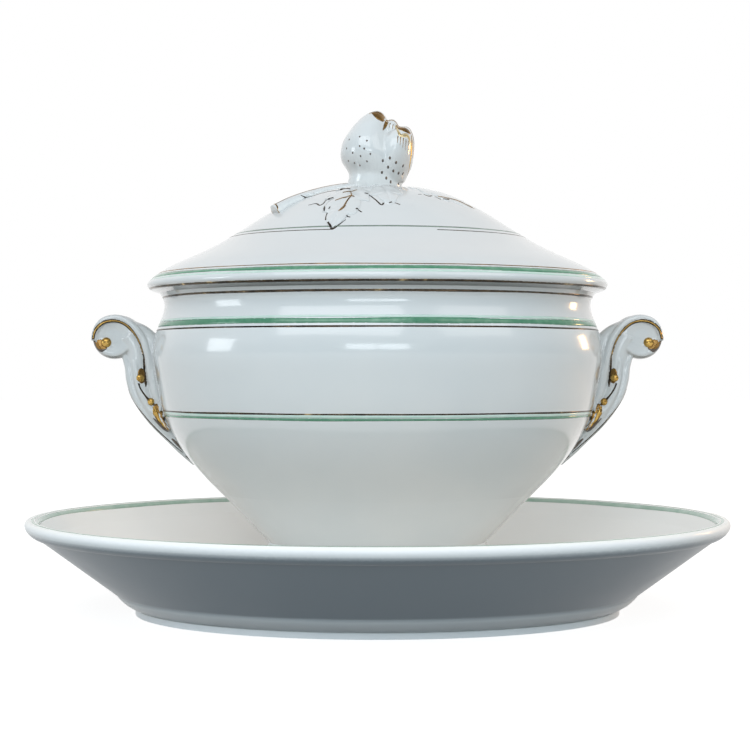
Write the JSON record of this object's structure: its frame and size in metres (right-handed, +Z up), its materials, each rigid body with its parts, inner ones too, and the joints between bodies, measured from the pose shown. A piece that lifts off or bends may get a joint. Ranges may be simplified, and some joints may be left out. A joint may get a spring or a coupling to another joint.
{
  "type": "soup tureen",
  "caption": "Oval footed soup tureen with scroll handles, a domed lid with a bud knob and leaf sprig, on a deep oval stand.",
  "frame": {"origin": "centre of the stand's foot ring, on the surface it stands on", "axes": "+X along the long axis through the handles, -Y towards the front of the sprig, +Z up"},
  "size_m": [0.4, 0.314, 0.2881],
  "materials": {
    "porcelain": "gloss",
    "gilding": "polished",
    "green_enamel": "gloss",
    "dark_enamel": "gloss"
  },
  "bodies": {
    "stand": {"stand": "porcelain"},
    "bowl": {"bowl": "porcelain", "bowl_foot": "porcelain", "handle_left": "porcelain", "handle_right": "porcelain"},
    "lid": {"lid": "porcelain", "finial_bud": "porcelain", "finial_petal": "porcelain", "stem": "porcelain", "leaf_front_left": "porcelain", "leaf_front_right": "porcelain", "leaf_right": "porcelain"}
  },
  "joints": [
    {"name": "bowl_lift", "type": "slide", "parent": "stand", "child": "bowl", "axis": [0, 0, 1], "range_m": [0, 0.08]},
    {"name": "lid_lift", "type": "slide", "parent": "bowl", "child": "lid", "axis": [0, 0, 1], "range_m": [0, 0.08]}
  ]
}
